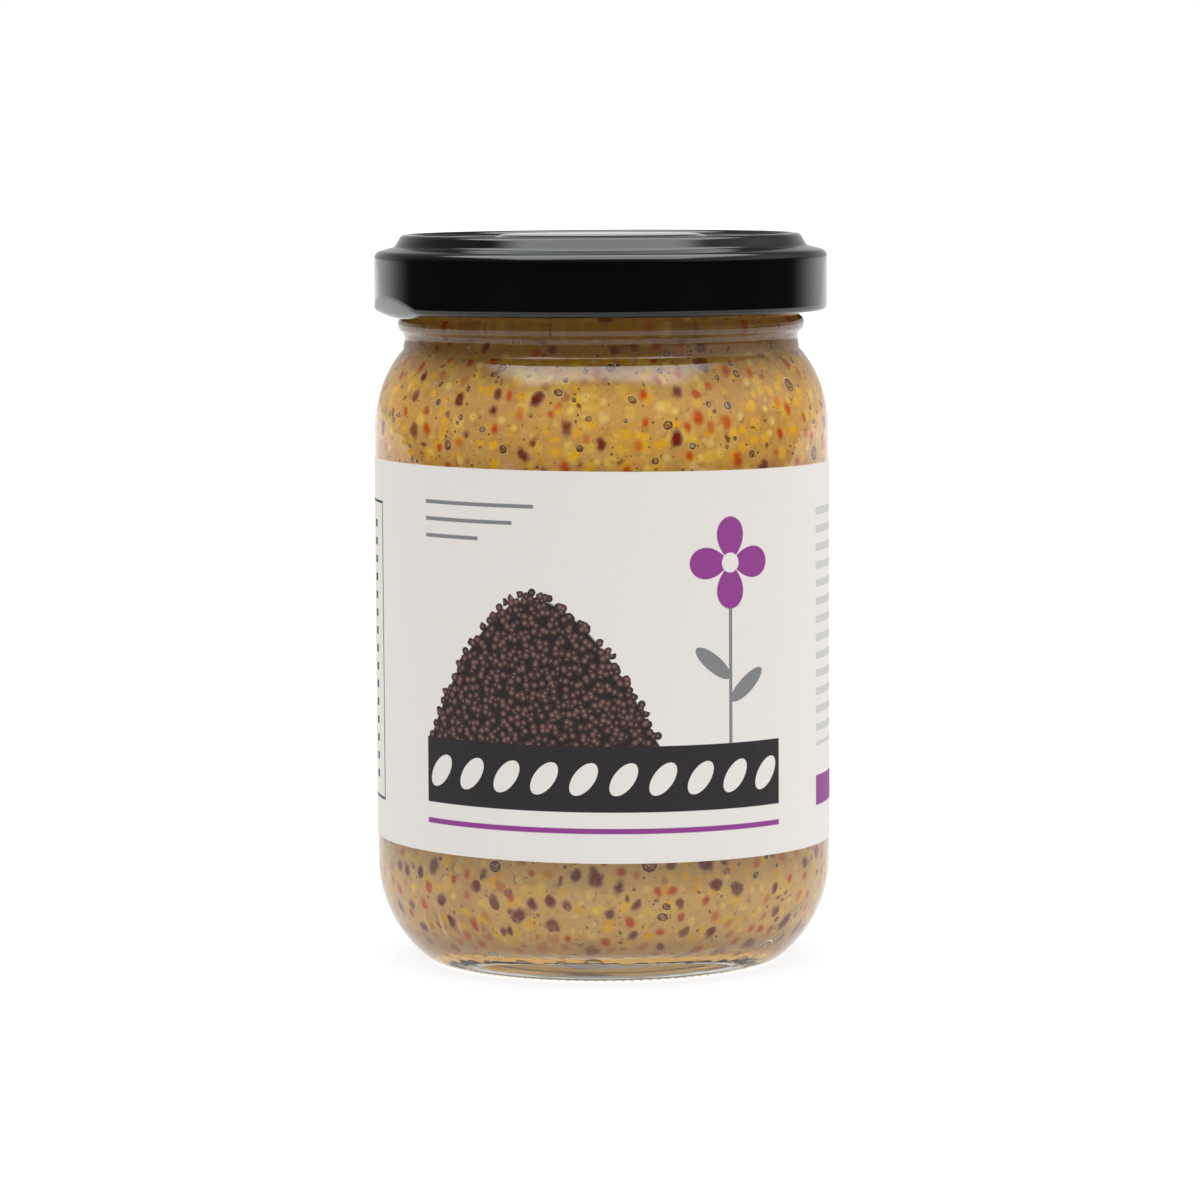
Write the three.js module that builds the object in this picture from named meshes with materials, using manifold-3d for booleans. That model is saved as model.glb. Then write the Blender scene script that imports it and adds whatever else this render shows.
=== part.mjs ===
// A squat round jar of wholegrain mustard: clear glass, a black twist-off cap, a paper label wrapped
// round the body, and the mustard inside. Millimetres, +Z up, jar axis on Z, standing on z = 0.

import * as THREE from "three";
import { mergeVertices } from "three/addons/utils/BufferGeometryUtils.js";
import Module from "manifold-3d";

const wasm = await Module();
wasm.setup();

// Driving dimensions of the glass
const bodyRadius = 30.5;
const wall = 2.4;
const rimHeight = 96.2;
const neckBore = 24.3;

// The base: a flat bearing ring round a shallow hollow
const bearingOuter = 23.4;
const bearingInner = 21.8;
const bearingRound = 0.5;
const pushUp = 2.4;

// The heel, where the body curves in to the base, and the floor of the cavity above it
const heelRadius = 16.4;
const heelHeight = 13.4;
const heelTurn = 53;
const innerHeelRadius = 9;
const innerHeelTurn = 84;
const floorHeight = 4.3;
const floorCrown = 0.9;

// The shoulder, the waist under the cap, the bead and the finish that the cap grips
const shoulderRadius = 16;
const shoulderHeight = 71.6;
const shoulderTurn = 41;
const waistRadius = 26.36;
const waistHeight = 83.6;
const beadRadius = 27.3;
const beadHeight = 85.4;
const beadRound = 1.15;
const beadTurn = 62;
const finishRadius = 26.6;
const rimRound = 0.9;

// The raised threads, one over each lug of the cap
const threadCount = 4;
const threadRadius = 28.4;
const threadThickness = 0.9;
const threadBevel = 0.3;
const threadSpan = 60;
const threadSlope = 6;
const threadMiddle = 89.9;
const threadLag = 9;

// The cap, pressed from one sheet: skirt, rolled curl, stepped crown and sunk panel
const capRadius = 30.36;
const capTop = 97.4;
const capBottom = 87.1;
const sheet = 0.35;
const curl = 0.72;
const skirtTop = 94.15;
const skirtRound = 1.16;
const skirtTurn = 75;
const valleyRadius = 28.1;
const valleyHeight = 96.47;
const valleyRound = 0.8;
const crownRadius = 26.1;
const crownRound = 0.95;
const crownTurn = 29;
const ledge = 0.3;
const panelRadius = 24.9;
const panelDrop = 0.5;
const buttonRadius = 13;
const buttonRise = 0.45;
const buttonStep = 1.6;

// The cap's lugs, pressed in from the curl
const lugSpan = 24;
const lugReach = 1.3;
const lugThickness = 0.7;
const lugBevel = 0.2;
const lugHeight = 0.5;
const firstLug = -72;

// The label: a paper skin round the straight part of the body, a little skewed
const labelGap = 0.15;
const labelThickness = 0.2;
const labelBottom = 16.75;
const labelTop = 67.5;
const labelSkew = 0.012;

// The mustard: it follows the cavity with a small gap, up to a level hidden by the cap
const fillGap = 0.3;
const fillLevel = 90;

const facets = 60;

const materials = {
  glass: new THREE.MeshStandardMaterial({
    name: "clear_glass",
    color: 0xe4ece8,
    roughness: 0.04,
    metalness: 0,
    transparent: true,
    opacity: 0.35,
  }),
  mustard: new THREE.MeshStandardMaterial({
    name: "wholegrain_mustard",
    color: 0xc6a35c,
    roughness: 0.45,
    metalness: 0,
  }),
  lacquer: new THREE.MeshStandardMaterial({
    name: "black_lacquer",
    color: 0x0c0b0b,
    roughness: 0.14,
    metalness: 0,
  }),
  paper: new THREE.MeshStandardMaterial({
    name: "label_paper",
    color: 0xdedad4,
    roughness: 0.55,
    metalness: 0,
  }),
};

// Profile points are (radius, height).
function at(radius, height) {
  return new THREE.Vector2(radius, height);
}

// Points on an arc, by angle in degrees from the outward direction towards up.
function arc(centreRadius, centreHeight, radius, fromAngle, toAngle, steps) {
  const points = [];
  for (let i = 0; i <= steps; i++) {
    const angle = THREE.MathUtils.degToRad(fromAngle + ((toAngle - fromAngle) * i) / steps);
    points.push(at(centreRadius + radius * Math.cos(angle), centreHeight + radius * Math.sin(angle)));
  }
  return points;
}

// A shallow dome from the axis out to its edge, the edge itself left out.
function dome(edgeRadius, edgeHeight, rise, steps) {
  const points = [];
  for (let i = 0; i < steps; i++) {
    const share = i / steps;
    points.push(at(edgeRadius * share, edgeHeight + rise * (1 - share * share)));
  }
  return points;
}

// A profile turned round the jar's axis. The profile runs with the solid on its left.
function turned(profile) {
  return new THREE.LatheGeometry(profile, facets).rotateX(Math.PI / 2);
}

function toSolid(geometry) {
  const bare = geometry.clone();
  bare.deleteAttribute("normal");
  bare.deleteAttribute("uv");
  const merged = mergeVertices(bare, 1e-4);
  return new wasm.Manifold(
    new wasm.Mesh({
      numProp: 3,
      vertProperties: merged.attributes.position.array,
      triVerts: new Uint32Array(merged.index.array),
    }),
  );
}

function toGeometry(solid) {
  const mesh = solid.getMesh();
  return new THREE.BufferGeometry()
    .setAttribute("position", new THREE.BufferAttribute(mesh.vertProperties, 3))
    .setIndex(new THREE.BufferAttribute(mesh.triVerts, 1));
}

function joined(body, additions) {
  let solid = toSolid(body);
  for (const addition of additions) {
    solid = solid.add(toSolid(addition));
  }
  return toGeometry(solid);
}

function named(name, geometry, material) {
  const mesh = new THREE.Mesh(geometry, material);
  mesh.name = name;
  return mesh;
}

// A bar bent round the axis: a slice of a flat ring centred on height 0, its edges bevelled.
function ringSlice(innerRadius, outerRadius, thickness, span, bevel, steps) {
  const half = THREE.MathUtils.degToRad(span / 2);
  const shape = new THREE.Shape();
  shape.absarc(0, 0, outerRadius - bevel, -half, half, false);
  shape.absarc(0, 0, innerRadius + bevel, half, -half, true);
  const slice = new THREE.ExtrudeGeometry(shape, {
    depth: thickness,
    curveSegments: steps,
    bevelThickness: bevel,
    bevelSize: bevel,
    bevelSegments: 1,
  });
  return slice.translate(0, 0, -thickness / 2);
}

// The outside of the glass, from the middle of the base to the top of the rim.
function glassOutside() {
  const shoulderCentre = bodyRadius - shoulderRadius;
  return [
    ...dome(bearingInner, 0, pushUp, 4),
    at(bearingInner, 0),
    at(bearingOuter, 0),
    at(bearingOuter + bearingRound, bearingRound / 4),
    ...arc(bodyRadius - heelRadius, heelHeight, heelRadius, -heelTurn, 0, 8),
    ...arc(shoulderCentre, shoulderHeight, shoulderRadius, 0, shoulderTurn, 6),
    at(waistRadius, waistHeight),
    ...arc(beadRadius - beadRound, beadHeight, beadRound, -beadTurn, beadTurn, 4),
    at(finishRadius, beadHeight + beadRound),
    ...arc(finishRadius - rimRound, rimHeight - rimRound, rimRound, 0, 90, 3),
  ];
}

// The cavity, from the neck down to the middle of the floor, set in by a gap.
function cavity(gap) {
  const shoulderCentre = bodyRadius - shoulderRadius;
  const innerShoulder = shoulderRadius - wall - gap;
  const neckTurn = THREE.MathUtils.radToDeg(Math.acos((neckBore - gap - shoulderCentre) / innerShoulder));
  const heelCentre = bodyRadius - wall - innerHeelRadius;
  const heelRound = innerHeelRadius - gap;
  const heel = arc(heelCentre, floorHeight + innerHeelRadius, heelRound, 0, -innerHeelTurn, 6);
  const floorEdge = heel[heel.length - 1];
  return [
    ...arc(shoulderCentre, shoulderHeight, innerShoulder, neckTurn, 0, 6),
    ...heel,
    ...dome(floorEdge.x, floorEdge.y, floorCrown, 2).reverse(),
  ];
}

function threads() {
  const ridges = [];
  for (let i = 0; i < threadCount; i++) {
    const ridge = ringSlice(finishRadius - 1, threadRadius, threadThickness, threadSpan, threadBevel, 6);
    ridge.rotateX(THREE.MathUtils.degToRad(threadSlope));
    ridge.rotateZ(THREE.MathUtils.degToRad(firstLug - threadLag + (360 * i) / threadCount));
    ridge.translate(0, 0, threadMiddle);
    ridges.push(ridge);
  }
  return ridges;
}

function jarGlass() {
  const mouth = [at(neckBore + rimRound, rimHeight), at(neckBore, rimHeight - rimRound)];
  const shell = turned([...glassOutside(), ...mouth, ...cavity(0)]);
  return named("jar_glass", joined(shell, threads()), materials.glass);
}

function mustard() {
  const surface = [at(0, fillLevel), at(neckBore - fillGap, fillLevel)];
  const profile = [...surface, ...cavity(fillGap)].reverse();
  return named("mustard", turned(profile), materials.mustard);
}

// The cap's pressed form from the skirt to its middle, set in by 0 outside and by the sheet inside.
// The skirt's round leads to a ledge, then a hollow valley, then the crown's steep side.
function capPress(inset) {
  const panelTop = capTop - panelDrop - inset;
  return [
    ...arc(capRadius - skirtRound, skirtTop, skirtRound - inset, 0, skirtTurn, 3),
    ...arc(valleyRadius, valleyHeight, valleyRound + inset, 180 + skirtTurn, 180 + crownTurn, 1),
    ...arc(crownRadius, capTop - crownRound, crownRound - inset, crownTurn, 90, 2),
    at(crownRadius - ledge, capTop - inset),
    at(panelRadius - inset, panelTop),
    at(buttonRadius + buttonStep, panelTop),
    at(buttonRadius, panelTop + buttonRise),
    at(0, panelTop + buttonRise),
  ];
}

function lugs() {
  const tabs = [];
  const reach = capRadius - 2 * curl - lugReach;
  for (let i = 0; i < threadCount; i++) {
    const tab = ringSlice(reach, capRadius - curl, lugThickness, lugSpan, lugBevel, 3);
    tab.translate(0, 0, capBottom + lugHeight + lugThickness / 2);
    tab.rotateZ(THREE.MathUtils.degToRad(firstLug + (360 * i) / threadCount));
    tabs.push(tab);
  }
  return tabs;
}

function cap() {
  const inside = capPress(sheet).reverse();
  const overCurl = at(capRadius - sheet, capBottom + 2.3 * curl);
  const curlRing = arc(capRadius - curl, capBottom + curl, curl, 135, 360, 6);
  const press = turned([...inside, overCurl, ...curlRing, ...capPress(0)]);
  return named("cap", joined(press, lugs()), materials.lacquer);
}

// The label's edges fall towards +X, so its heights shear with x.
function label() {
  const inner = bodyRadius + labelGap;
  const outer = inner + labelThickness;
  const ring = turned([
    at(inner, labelBottom),
    at(outer, labelBottom),
    at(outer, labelTop),
    at(inner, labelTop),
    at(inner, labelBottom),
  ]);
  const skew = new THREE.Matrix4().set(1, 0, 0, 0, 0, 1, 0, 0, -labelSkew, 0, 1, 0, 0, 0, 0, 1);
  return named("label", ring.applyMatrix4(skew), materials.paper);
}

const jar = new THREE.Group();
jar.name = "mustard_jar";
jar.add(jarGlass(), mustard(), cap(), label());

export default jar;
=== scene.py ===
# The looks of a jar of wholegrain mustard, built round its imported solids.
# Metres, +Z up, the jar's axis on Z, the middle of the label towards -Y.

import math
import random

import bpy
import numpy as np
from mathutils import Matrix, Vector


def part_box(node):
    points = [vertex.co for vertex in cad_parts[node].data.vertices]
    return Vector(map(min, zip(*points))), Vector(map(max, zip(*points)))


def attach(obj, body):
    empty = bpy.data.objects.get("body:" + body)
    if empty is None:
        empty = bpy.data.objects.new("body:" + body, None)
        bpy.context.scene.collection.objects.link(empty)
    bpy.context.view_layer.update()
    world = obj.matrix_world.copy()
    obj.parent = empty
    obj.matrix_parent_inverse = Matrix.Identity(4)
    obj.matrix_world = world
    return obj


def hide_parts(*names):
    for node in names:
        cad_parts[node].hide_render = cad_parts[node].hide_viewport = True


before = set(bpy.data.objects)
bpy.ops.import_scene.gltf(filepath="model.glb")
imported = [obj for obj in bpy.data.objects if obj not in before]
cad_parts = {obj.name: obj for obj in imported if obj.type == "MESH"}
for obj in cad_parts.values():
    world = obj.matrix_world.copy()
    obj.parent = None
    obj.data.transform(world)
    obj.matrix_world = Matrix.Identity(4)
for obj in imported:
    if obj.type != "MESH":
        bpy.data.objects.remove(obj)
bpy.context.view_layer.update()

mm = 0.001

# Sizes of the glass, as the solids have them
body_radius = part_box("jar_glass")[1].x
rim_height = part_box("jar_glass")[1].z
wall = 2.4 * mm
neck_bore = 24.3 * mm
bearing_outer = 23.4 * mm
bearing_inner = 21.8 * mm
push_up = 2.4 * mm
heel_radius = 16.4 * mm
heel_height = 13.4 * mm
heel_turn = 53
inner_heel_radius = 9 * mm
inner_heel_turn = 84
floor_height = 4.3 * mm
floor_crown = 0.9 * mm
shoulder_radius = 16 * mm
shoulder_height = 71.6 * mm
shoulder_turn = 41
waist_radius = 26.36 * mm
waist_height = 83.6 * mm
bead_radius = 27.3 * mm
bead_height = 85.4 * mm
bead_round = 1.15 * mm
bead_turn = 62
finish_radius = 26.6 * mm
rim_round = 0.9 * mm
glass_segments = 480

# The bearing ring's teeth
tooth_count = 120
tooth_depth = 0.28 * mm

# The mould's marks on the heel: degrees round from the front, and their height up the side
mark_count = 8
mark_start = -52
mark_pitch = 6.5
mark_height = 7.5 * mm
mark_length = 3.4 * mm
mark_rise = 0.32 * mm

# The threads and the cap's lugs over them, placed in degrees round from +X as in the solids
lug_count = 4
first_lug = -72
x_from_front = 90
thread_lag = 9
thread_rise = 1.8 * mm
thread_half_width = 0.75 * mm
thread_span = 60
thread_slope = 6
thread_middle = 89.9 * mm

# The cap, pressed from one sheet
cap_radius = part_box("cap")[1].x
cap_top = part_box("cap")[1].z
cap_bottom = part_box("cap")[0].z
sheet = 0.35 * mm
curl = 0.72 * mm
skirt_top = 94.15 * mm
skirt_round = 1.16 * mm
skirt_turn = 75
valley_radius = 28.1 * mm
valley_height = 96.47 * mm
valley_round = 0.8 * mm
crown_radius = 26.1 * mm
crown_round = 0.95 * mm
crown_turn = 29
ledge = 0.3 * mm
panel_radius = 24.9 * mm
panel_drop = 0.5 * mm
button_radius = 13 * mm
button_rise = 0.45 * mm
button_step = 1.6 * mm
cap_segments = 360

# The slanted faces of two opposite lugs, the first at these degrees round from the front
dent_middle = -70
dent_depth = 1.6 * mm
dent_height = 2.2 * mm
dent_drop = 0.7 * mm
fold_round = 0.15 * mm

# The label
label_gap = 0.03 * mm
label_thickness = 0.12 * mm
label_bottom = 16.75 * mm
label_top = 67.5 * mm
label_skew = 0.012
label_overlap = 6 * mm

# The mustard reaches a little into the wall, so that no air shows between it and the glass
paste_reach = 0.12 * mm
fill_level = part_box("mustard")[1].z
fill_dip = 0.4 * mm
paste_segments = 256

# Painted shade at the mustard's foot, in the corner by the wall: between these heights, and outside these
# distances from the axis
foot_shade_top = 8 * mm
foot_shade_bottom = 4.6 * mm
foot_shade_inner = 18.5 * mm
foot_shade_outer = 20 * mm

# A grain's points above this height, in radii, lie on the side that meets the glass
grain_rim = 0.01

# How far a grain's rim lies under the paste's surface
grain_sink = 0.01 * mm


# Outlines of turned pieces: lists of (radius, height)

def arc(centre_radius, centre_height, radius, from_angle, to_angle, steps):
    points = []
    for i in range(steps + 1):
        angle = math.radians(from_angle + (to_angle - from_angle) * i / steps)
        points.append((centre_radius + radius * math.cos(angle), centre_height + radius * math.sin(angle)))
    return points


def dome(edge_radius, edge_height, rise, steps):
    """A shallow dome from the axis out to its edge, the edge itself left out."""
    shares = [i / steps for i in range(steps)]
    return [(edge_radius * share, edge_height + rise * (1 - share * share)) for share in shares]


def straight(start, end, steps):
    """Points from start to end, the end left out."""
    shares = [i / steps for i in range(steps)]
    return [
        (start[0] + (end[0] - start[0]) * share, start[1] + (end[1] - start[1]) * share) for share in shares
    ]


def eased(start, end, steps):
    """Points along a soft step from start to end, level at both."""
    points = []
    for i in range(steps + 1):
        share = i / steps
        height = start[1] + (end[1] - start[1]) * share * share * (3 - 2 * share)
        points.append((start[0] + (end[0] - start[0]) * share, height))
    return points


def cavity(gap, fineness):
    """The inside of the glass from the neck down to the middle of the floor, set in by a gap."""
    shoulder_centre = body_radius - shoulder_radius
    inner_shoulder = shoulder_radius - wall - gap
    neck_turn = math.degrees(math.acos((neck_bore - gap - shoulder_centre) / inner_shoulder))
    heel_centre = body_radius - wall - inner_heel_radius
    heel_round = inner_heel_radius - gap
    shoulder = arc(shoulder_centre, shoulder_height, inner_shoulder, neck_turn, 0, 8 * fineness)
    heel = arc(heel_centre, floor_height + inner_heel_radius, heel_round, 0, -inner_heel_turn, 8 * fineness)
    floor = dome(heel[-1][0], heel[-1][1], floor_crown, 2 * fineness)
    return shoulder[:-1] + straight(shoulder[-1], heel[0], 8 * fineness) + heel + floor[::-1]


# Modelling by hand: each helper works on the piece being shaped

def deselect():
    bpy.ops.object.select_all(action="DESELECT")


def turned(name, profile, segments):
    """A profile extruded point by point from one vertex, then turned round the jar's axis."""
    deselect()
    bpy.ops.mesh.primitive_plane_add(size=mm)
    piece = bpy.context.object
    piece.name = name
    piece.data.name = name
    bpy.ops.object.mode_set(mode="EDIT")
    bpy.ops.mesh.merge(type="CENTER")
    bpy.ops.transform.translate(value=(profile[0][0], 0, profile[0][1]))
    for (radius, height), (next_radius, next_height) in zip(profile, profile[1:]):
        step = (next_radius - radius, 0, next_height - height)
        bpy.ops.mesh.extrude_region_move(TRANSFORM_OT_translate={"value": step})
    bpy.ops.object.mode_set(mode="OBJECT")
    turning = piece.modifiers.new("turning", "SCREW")
    turning.steps = segments
    turning.render_steps = segments
    bpy.ops.object.modifier_apply(modifier=turning.name)
    bpy.ops.object.mode_set(mode="EDIT")
    bpy.ops.mesh.select_all(action="SELECT")
    bpy.ops.mesh.remove_doubles(threshold=0.002 * mm)
    bpy.ops.mesh.normals_make_consistent(inside=False)
    bpy.ops.object.mode_set(mode="OBJECT")
    return piece


def smooth(piece, angle=180):
    deselect()
    piece.select_set(True)
    bpy.context.view_layer.objects.active = piece
    bpy.ops.object.shade_smooth_by_angle(angle=math.radians(angle))


def places(piece):
    """The piece's vertices as rows of x, y, z."""
    flat = np.empty(len(piece.data.vertices) * 3)
    piece.data.vertices.foreach_get("co", flat)
    return flat.reshape(-1, 3)


def put(piece, points):
    piece.data.vertices.foreach_set("co", np.asarray(points, float).ravel())
    piece.data.update()


def azimuths(points):
    """Degrees round the axis from the front, growing towards +X."""
    return np.degrees(np.arctan2(points[:, 0], -points[:, 1]))


def turn_between(angles, middle):
    """Degrees from middle, between -180 and 180."""
    return (angles - middle + 180) % 360 - 180


def smoothstep(value, low, high):
    share = np.clip((value - low) / (high - low), 0, 1)
    return share * share * (3 - 2 * share)


def push_out(points, amount):
    """Moves points away from the axis by an amount each."""
    radii = np.hypot(points[:, 0], points[:, 1])
    scale = 1 + amount / np.maximum(radii, mm)
    points[:, 0] *= scale
    points[:, 1] *= scale


# The glass

def glass_profile():
    shoulder_centre = body_radius - shoulder_radius
    ring_height = tooth_depth + 0.1 * mm
    bearing = [
        (bearing_inner - 0.2 * mm, ring_height),
        (bearing_inner, tooth_depth),
        (bearing_inner + 0.25 * mm, 0.0),
        (bearing_inner + 0.8 * mm, 0.0),
        (bearing_outer - 0.25 * mm, 0.0),
        (bearing_outer + 0.15 * mm, tooth_depth),
    ]
    waist = [(waist_radius + 0.12 * mm, waist_height - 0.3 * mm), (waist_radius, waist_height)]
    finish_start = (finish_radius, bead_height + bead_round)
    finish_end = (finish_radius, rim_height - rim_round)
    return (
        dome(bearing_inner - 0.2 * mm, ring_height, push_up - ring_height, 10)
        + bearing
        + arc(body_radius - heel_radius, heel_height, heel_radius, -heel_turn, 0, 26)
        + arc(shoulder_centre, shoulder_height, shoulder_radius, 0, shoulder_turn, 16)
        + waist
        + arc(bead_radius - bead_round, bead_height, bead_round, -bead_turn, bead_turn, 12)
        + straight(finish_start, finish_end, 30)
        + arc(finish_radius - rim_round, rim_height - rim_round, rim_round, 0, 90, 6)
        + [(neck_bore + rim_round, rim_height), (neck_bore, rim_height - rim_round)]
        + cavity(0, 2)
    )


def cut_teeth(points):
    """The bearing ring stands on fine teeth: between them it is lifted."""
    radii = np.hypot(points[:, 0], points[:, 1])
    on_ring = (points[:, 2] < 0.05 * mm) & (radii > bearing_inner)
    wave = 0.5 - 0.5 * np.cos(np.radians(azimuths(points)) * tooth_count)
    points[on_ring, 2] += tooth_depth * wave[on_ring]


def raise_threads(points):
    """Four ridges climb round the finish, one over each lug of the cap."""
    radii = np.hypot(points[:, 0], points[:, 1])
    on_finish = (radii > finish_radius - 0.05 * mm) & (points[:, 2] > bead_height + bead_round)
    for i in range(lug_count):
        middle = first_lug - thread_lag + 360 * i / lug_count + x_from_front
        away = turn_between(azimuths(points), middle)
        climb = np.tan(math.radians(thread_slope)) * np.radians(away) * finish_radius
        across = np.abs(points[:, 2] - thread_middle - climb)
        ridge = 1 - smoothstep(across, thread_half_width * 0.35, thread_half_width)
        ends = 1 - smoothstep(np.abs(away), thread_span / 2 - 6, thread_span / 2)
        push_out(points, np.where(on_finish, thread_rise * ridge * ends, 0))


def raise_marks(points):
    """A row of short bars stands out on the outside of the heel, as a mould leaves."""
    radii = np.hypot(points[:, 0], points[:, 1])
    drop = np.clip(heel_height - points[:, 2], 0, heel_radius)
    outside = body_radius - heel_radius + np.sqrt(heel_radius ** 2 - drop ** 2)
    on_heel = (np.abs(radii - outside) < 0.1 * mm) & (points[:, 2] < heel_height)
    for i in range(mark_count):
        away = turn_between(azimuths(points), mark_start + i * mark_pitch)
        half_length = mark_length * (0.5 if i % 3 else 0.3)
        across = 1 - smoothstep(np.abs(np.radians(away)) * radii, 0.2 * mm, 0.65 * mm)
        off_middle = np.abs(points[:, 2] - mark_height)
        along = 1 - smoothstep(off_middle, half_length - 0.3 * mm, half_length + 0.2 * mm)
        push_out(points, np.where(on_heel, mark_rise * across * along, 0))


def make_glass():
    glass = turned("clear_jar", glass_profile(), glass_segments)
    points = places(glass)
    cut_teeth(points)
    raise_marks(points)
    raise_threads(points)
    put(glass, points)
    smooth(glass)
    return glass


# The mustard's paste, and the frame of its surface for what is pressed against the glass

def paste_profile():
    side = cavity(-paste_reach, 3)
    top = [(0.0, fill_level - fill_dip), (neck_bore * 0.6, fill_level - fill_dip / 2)]
    return top + straight((neck_bore + paste_reach, fill_level), side[0], 4) + side


def make_paste():
    paste = turned("mustard_paste", paste_profile(), paste_segments)
    smooth(paste, 50)
    return paste


def surface_steps(low, high):
    """Short steps down the paste's side between two heights: start, end, length times radius."""
    steps = []
    wall_line = paste_profile()[2:]
    for start, end in zip(wall_line, wall_line[1:]):
        middle = (start[1] + end[1]) / 2
        if low <= middle <= high and start[0] > body_radius * 0.55:
            weight = math.dist(start, end) * (start[0] + end[0]) / 2
            steps.append((start, end, weight))
    return steps


def bend_of(height):
    """The radius of the side's vertical curve at a height. The straight side counts as a very wide one."""
    if height > shoulder_height:
        return shoulder_radius - wall + paste_reach
    if height < floor_height + inner_heel_radius:
        return inner_heel_radius + paste_reach
    return 1.0


neighbours = [(i, j, k) for i in (-1, 0, 1) for j in (-1, 0, 1) for k in (-1, 0, 1)]


def find_sites(draw, taken, count, low, high, sizes):
    """Random places on the paste's side, clear of the places taken so far. Sizes are radii."""
    steps = surface_steps(low, high)
    weights = [step[2] for step in steps]
    sites = []
    cell_size = 2 * mm
    tries = 12
    closest = 0.84
    for _ in range(count * tries):
        if len(sites) == count:
            break
        start, end, _weight = draw.choices(steps, weights)[0]
        share = draw.random()
        radius = start[0] + (end[0] - start[0]) * share
        height = start[1] + (end[1] - start[1]) * share
        angle = draw.uniform(-math.pi, math.pi)
        place = Vector((radius * math.sin(angle), -radius * math.cos(angle), height))
        size = sizes[0] + (sizes[1] - sizes[0]) * draw.random() ** 1.5
        cell = tuple(math.floor(value / cell_size) for value in place)
        near = [site for shift in neighbours for site in taken.get(tuple(map(sum, zip(cell, shift))), ())]
        if any((place - other).length < (size + other_size) * closest for other, other_size in near):
            continue
        taken.setdefault(cell, []).append((place, size))
        along = Vector((end[0] - start[0], end[1] - start[1])).normalized()
        outward = Vector((-along.y * math.sin(angle), along.y * math.cos(angle), along.x))
        across = Vector((math.cos(angle), math.sin(angle), 0))
        sites.append((place, outward, across, size, bend_of(height), draw.random()))
    return sites


# Seeds, husks, bubbles and specks: each form is modelled once, and copied to every place

def pressed_form(segments, rings):
    """A round grain of radius 1, pressed to a low dome on the side that meets the glass, which is +Z."""
    deselect()
    bpy.ops.mesh.primitive_uv_sphere_add(segments=segments, ring_count=rings, radius=1)
    form = bpy.context.object
    bpy.ops.object.mode_set(mode="EDIT")
    bpy.ops.mesh.select_all(action="SELECT")
    bpy.ops.mesh.remove_doubles(threshold=0.001)
    bpy.ops.object.mode_set(mode="OBJECT")
    points = places(form)
    outer = points[:, 2] > grain_rim
    points[outer, 2] = points[outer, 2] ** 2
    points[~outer, 2] *= 0.7
    faces = [tuple(face.vertices) for face in form.data.polygons]
    bpy.data.objects.remove(form)
    return points, faces


def copies(name, form, sites, draw, lift, stretch=0.12, tall=1.0, spin=math.pi):
    """One piece of many copies of a form. Each copy follows the curve of the wall where it lies."""
    points, faces = form
    all_points = []
    all_faces = []
    spots = []
    tones = []
    for place, outward, across, size, bend, tone in sites:
        along = outward.cross(across)
        turn = draw.uniform(-spin, spin)
        wide = size * (1 + draw.uniform(-stretch, stretch)) / math.sqrt(tall)
        high = size * (1 + draw.uniform(-stretch, stretch)) * math.sqrt(tall)
        egg = draw.uniform(-stretch, stretch) * 0.6
        base = len(all_points)
        for x, y, z in points:
            flat_x = x * wide * (1 + egg * y)
            flat_y = y * high
            u = flat_x * math.cos(turn) - flat_y * math.sin(turn)
            v = flat_x * math.sin(turn) + flat_y * math.cos(turn)
            sag = u * u / (2 * body_radius) + v * v / (2 * bend)
            height = z * size if z < grain_rim else z * lift
            all_points.append(place + across * u + along * v + outward * (height - sag - grain_sink))
            spots.append((0.5 + x / 2, 0.5 + y / 2))
            tones.append(tone)
        all_faces += [tuple(base + corner for corner in face) for face in faces]
    mesh = bpy.data.meshes.new(name)
    mesh.from_pydata(all_points, [], all_faces)
    piece = bpy.data.objects.new(name, mesh)
    bpy.context.scene.collection.objects.link(piece)
    corners = np.empty(len(mesh.loops), int)
    mesh.loops.foreach_get("vertex_index", corners)
    mesh.uv_layers.new(name="spot").data.foreach_set("uv", np.asarray(spots)[corners].ravel())
    mesh.attributes.new("tone", "FLOAT", "POINT").data.foreach_set("value", tones)
    smooth(piece, 40)
    return piece


# The cap

def cap_press(inset):
    """The cap's pressed form from the skirt to its middle, set in by 0 outside and by the sheet inside."""
    panel_top = cap_top - panel_drop - inset
    button_top = panel_top + button_rise
    skirt = arc(cap_radius - skirt_round, skirt_top, skirt_round - inset, 0, skirt_turn, 12)
    valley = arc(valley_radius, valley_height, valley_round + inset, 180 + skirt_turn, 180 + crown_turn, 8)
    crown = arc(crown_radius, cap_top - crown_round, crown_round - inset, crown_turn, 90, 10)
    inner_step = eased((crown_radius - ledge, cap_top - inset), (panel_radius - inset, panel_top), 8)
    button = eased((button_radius + button_step, panel_top), (button_radius, button_top), 8)
    return skirt + valley + crown + inner_step + button + [(0.0, button_top)]


def cap_profile():
    over_curl = (cap_radius - sheet, cap_bottom + 2.3 * curl)
    curl_ring = arc(cap_radius - curl, cap_bottom + curl, curl, 135, 360, 20)
    above_dent = cap_bottom + dent_height + 3 * fold_round
    dent_line = straight((cap_radius, cap_bottom + curl), (cap_radius, above_dent), 16)
    wall_line = straight((cap_radius, above_dent), (cap_radius, skirt_top), 4)
    return cap_press(sheet)[::-1] + [over_curl] + curl_ring + dent_line[1:] + wall_line + cap_press(0)


def soft_positive(value, round_off):
    """The value where it is above 0 and 0 elsewhere, with the corner between rounded off."""
    corner = (value + round_off) ** 2 / (4 * round_off)
    return np.where(value > round_off, value, np.where(value < -round_off, 0, corner))


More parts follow.
